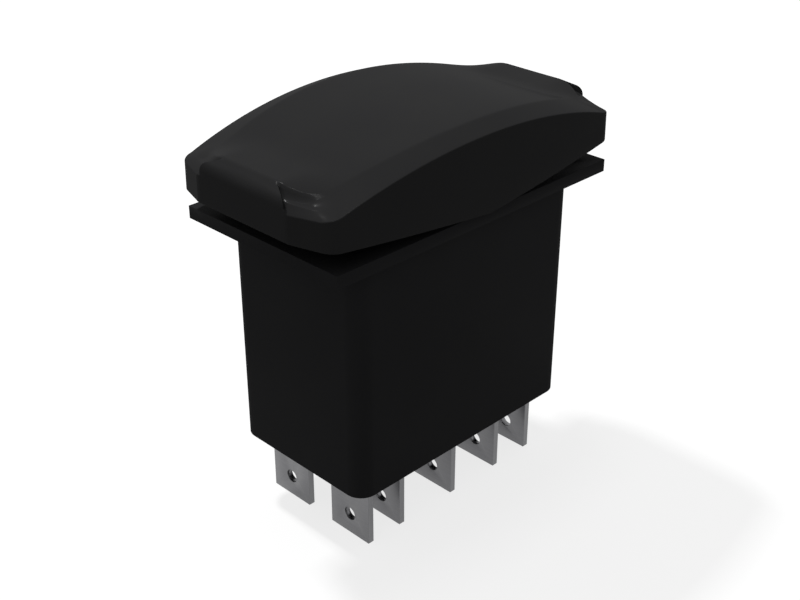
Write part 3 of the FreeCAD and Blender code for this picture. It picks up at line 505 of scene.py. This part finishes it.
def section(station, flip_x, flip_y):
    """The cap's section at one station, from the pad over the rim and down the wall to the roof."""
    (x, y), (nx, ny), (plan_x, plan_y), (wall_x, wall_y), height, nose, hollow = station
    pad_steps, bevel_steps, rim_steps, skirt_steps = 4, 6, 6, 3
    wall_shares = (0.35, 0.7)

    def at(px, py, pz):
        return Vector((px * flip_x, py * flip_y, pz))

    def wall(pz, inset=0.0):
        back = pz * DRAFT + inset
        return at(plan_x - wall_x * back, plan_y - wall_y * back, pz)

    pad_inner = at(x, y, pad_height(x, y))
    edge_x = x + nx * PAD_EDGE
    edge_y = y + ny * PAD_EDGE
    pad_edge = at(edge_x, edge_y, pad_height(edge_x, edge_y))
    rim = wall(height)
    fold = rim.lerp(pad_edge, FOLD_SHARE).lerp(wall(height + NOSE_RISE), nose)
    skirt = SKIRT_MIDDLE + abs(wall(0).x) * SKIRT_RISE
    lower = wall(skirt)
    inner_lower = wall(skirt, CAP_WALL)
    inner_top = wall(height - CAP_WALL, CAP_WALL)

    # The pad's edge, then the bevel, which sags as a parabola, down to the fold and over the rim
    points = [pad_inner] + bend(pad_inner, pad_edge, fold, PAD_EDGE, pad_steps)[1:]
    over_fold = bend(pad_edge, fold, rim, FOLD_REACH + NOSE_ROUND * nose, rim_steps)
    start, end = points[-1], over_fold[0]
    for step in range(1, bevel_steps):
        share = step / bevel_steps
        place = start.lerp(end, share)
        place.z -= hollow * 4 * share * (1 - share)
        points.append(place)
    points += over_fold
    over_rim = bend(fold, rim, lower, RIM_REACH, rim_steps)
    points += over_rim

    # Down the wall, round the lower edge, and up the inside to the underside of the pad
    points += [over_rim[-1].lerp(lower, share) for share in wall_shares]
    points += bend(rim, lower, inner_lower, SKIRT_ROUND, skirt_steps)
    points += bend(lower, inner_lower, inner_top, SKIRT_ROUND, skirt_steps)
    points.append(inner_top)
    points.append(at(x, y, pad_height(x, y) - CAP_WALL))
    return points


def loop_sections():
    """Sections all the way round, from the four mirrored quarters."""
    quarter = quarter_stations()
    loop = [section(station, 1, 1) for station in quarter]
    loop += [section(station, 1, -1) for station in quarter[-2::-1]]
    loop += [section(station, -1, -1) for station in quarter[1:]]
    loop += [section(station, -1, 1) for station in quarter[-2:0:-1]]
    return loop


def pad_grid(lift):
    """Faces of the pad inside its outline, in columns along the arch, raised by a lift.

    The last column has a point for each station of the nose, so that the grid meets the sections.
    """
    rows = 2 * NOSE_STEPS
    outline = [station[0] for station in quarter_stations()]
    columns = outline[:-NOSE_STEPS]
    columns = [(-x, y) for x, y in columns[:0:-1]] + columns
    faces = []
    for (x, y), (next_x, next_y) in zip(columns, columns[1:]):
        for row in range(rows):
            low = 2 * row / rows - 1
            high = 2 * (row + 1) / rows - 1
            corners = ((x, y * low), (next_x, next_y * low), (next_x, next_y * high), (x, y * high))
            faces.append([Vector((px, py, pad_height(px, py) + lift)) for px, py in corners])
    return faces


def block(low, high):
    """Faces of a rectangular block, looking outward."""
    ends = (low, high)
    corner = {(i, j, k): Vector((ends[i].x, ends[j].y, ends[k].z))
              for i in (0, 1) for j in (0, 1) for k in (0, 1)}
    rings = (((0, 0, 0), (0, 1, 0), (1, 1, 0), (1, 0, 0)),
             ((0, 0, 1), (1, 0, 1), (1, 1, 1), (0, 1, 1)),
             ((0, 0, 0), (1, 0, 0), (1, 0, 1), (0, 0, 1)),
             ((1, 0, 0), (1, 1, 0), (1, 1, 1), (1, 0, 1)),
             ((1, 1, 0), (0, 1, 0), (0, 1, 1), (1, 1, 1)),
             ((0, 1, 0), (0, 0, 0), (0, 0, 1), (0, 1, 1)))
    return [[corner[key] for key in ring] for ring in rings]


cap_faces = []
sections = loop_sections()
for one, following in zip(sections, sections[1:] + sections[:1]):
    for (a, b), (c, d) in zip(zip(one, one[1:]), zip(following, following[1:])):
        cap_faces.append([a, c, d, b])
cap_faces += pad_grid(0.0)
cap_faces += [face[::-1] for face in pad_grid(-CAP_WALL)]

# Cross ribs rest on the bracket, a spine joins them, and two legs snap through the bracket's
# windows
RIB_PLACE = 9.0
RIB_HALF = 0.6
RIB_CLEARANCE = 0.02
LEG_PLACE = 5.0
LEG_HALF_THICKNESS = 0.7
LEG_HALF_WIDTH = 2.3
LEG_REACH = 2.7
BRACKET_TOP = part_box("rocker_bracket")[1].z / MM
rib_top = pad_height(RIB_PLACE, 0) - CAP_WALL / 2
rib_side = CAP_SIDE - CAP_WALL - RIB_HALF
leg_top = pad_height(LEG_PLACE, 0) - CAP_WALL / 2
for way in (-1, 1):
    middle = way * RIB_PLACE
    cap_faces += block(Vector((middle - RIB_HALF, -rib_side, BRACKET_TOP + RIB_CLEARANCE)),
                       Vector((middle + RIB_HALF, rib_side, rib_top)))
    middle = way * LEG_PLACE
    cap_faces += block(
        Vector((middle - LEG_HALF_THICKNESS, -LEG_HALF_WIDTH, BRACKET_TOP - LEG_REACH)),
        Vector((middle + LEG_HALF_THICKNESS, LEG_HALF_WIDTH, leg_top)))
cap_faces += block(Vector((-RIB_PLACE - RIB_HALF, -RIB_HALF, rib_top - CAP_WALL)),
                   Vector((RIB_PLACE + RIB_HALF, RIB_HALF, rib_top)))

cap = make_mesh("rocker_cap_moulding", cap_faces)
cap.data.shade_smooth()
cap.data.set_sharp_from_angle(angle=math.radians(35))
cap_plastic = moulded_plastic("polycarbonate_blend_moulded_black", "292929", "252526",
                              roughness=0.17, gloss=0.045)
cap.data.materials.append(cap_plastic)
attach(cap, "rocker")
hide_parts("rocker_cap")
dress(["rocker_cap"], cap_plastic)

# Floor: a pale sheet of paper under the tips of the terminals, far wider than the view.
# It shows white to the camera and in mirrored rays, and keeps the part's shadow.
FLOOR_HALF = 3.0
FLOOR_LIFT = 0.78
floor_z = cad_bounds[0].z
floor_mesh = bpy.data.meshes.new("floor")
floor_mesh.from_pydata([(-FLOOR_HALF, -FLOOR_HALF, floor_z), (FLOOR_HALF, -FLOOR_HALF, floor_z),
                        (FLOOR_HALF, FLOOR_HALF, floor_z), (-FLOOR_HALF, FLOOR_HALF, floor_z)],
                       [], [(0, 1, 2, 3)])
floor = bpy.data.objects.new("floor", floor_mesh)
bpy.context.scene.collection.objects.link(floor)


def seen_rays(owner):
    """1 for the rays that show a surface to the eye, straight or mirrored or through glass."""
    path = add(owner, "LightPath")
    direct = add(owner, "Math", {"operation": "ADD", "use_clamp": True}, {
        0: path.outputs["Is Camera Ray"], 1: path.outputs["Is Glossy Ray"]})
    return add(owner, "Math", {"operation": "ADD", "use_clamp": True}, {
        0: direct.outputs[0], 1: path.outputs["Is Transmission Ray"]}).outputs[0]


paper = new_material("paper_white")
lift = add(paper, "Math", {"operation": "MULTIPLY"}, {0: seen_rays(paper), 1: FLOOR_LIFT})
glow = add(paper, "Emission", None, {"Color": linear("FFFFFF"), "Strength": lift.outputs[0]})
matt = add(paper, "BsdfDiffuse", None, {"Color": linear("8A8A8A")})
show(paper, add(paper, "AddShader", None, {0: matt.outputs[0], 1: glow.outputs[0]}))
floor.data.materials.append(paper)

# Background: plain white where it is seen, straight or mirrored.
# The light that falls on the part comes from a softer white room.
ROOM_LIGHT = 0.36
studio = bpy.data.worlds.new("studio")
bpy.context.scene.world = studio
studio.use_nodes = True
studio.node_tree.nodes.clear()
room = add(studio, "Background", None, {"Color": linear("FFFFFF"), "Strength": ROOM_LIGHT})
white = add(studio, "Background", None, {"Color": linear("FFFFFF"), "Strength": 1.0})
backdrop = add(studio, "MixShader", None, {
    0: seen_rays(studio), 1: room.outputs[0], 2: white.outputs[0]})
add(studio, "OutputWorld", None, {"Surface": backdrop.outputs[0]})


# Lamps: two soft boxes, a small one high behind the switch and a wider one overhead.
# They stand at the level where a colour shows as it is written.
def soft_box(name, direction, distance, size, power):
    """Square area lamp that faces the middle of the switch."""
    light = bpy.data.lights.new(name, "AREA")
    light.shape = "SQUARE"
    light.size = size
    light.energy = power
    lamp = bpy.data.objects.new(name, light)
    bpy.context.scene.collection.objects.link(lamp)
    away = Vector(direction).normalized()
    lamp.location = away * distance
    lamp.rotation_euler = away.to_track_quat("Z", "Y").to_euler()


soft_box("key_soft_box", direction=(-0.04, 0.49, 0.87), distance=0.5, size=0.045, power=1.95)
soft_box("top_soft_box", direction=(0.02, 0.1, 0.99), distance=0.5, size=0.1, power=0.4)

# Camera: where the photograph was taken from, facing the nearest corner from a little above.
# It stands close by, so the case narrows visibly towards its foot.
VIEW_AZIMUTH = math.radians(-44.98)
VIEW_RISE = math.radians(28.41)
VIEW_DISTANCE = 0.14399
VIEW_AIM = Vector((-4.491, -3.668, -10.667)) * MM
back = Vector((math.sin(VIEW_AZIMUTH) * math.cos(VIEW_RISE),
               -math.cos(VIEW_AZIMUTH) * math.cos(VIEW_RISE),
               math.sin(VIEW_RISE)))
camera_data = bpy.data.cameras.new("camera")
camera_data.lens = 56.88
camera_data.sensor_width = 36.0
camera_data.clip_start = 0.005
camera = bpy.data.objects.new("camera", camera_data)
bpy.context.scene.collection.objects.link(camera)
camera.location = VIEW_AIM + back * VIEW_DISTANCE
camera.rotation_euler = back.to_track_quat("Z", "Y").to_euler()
bpy.context.scene.camera = camera
bpy.context.scene.view_settings.view_transform = "Standard"
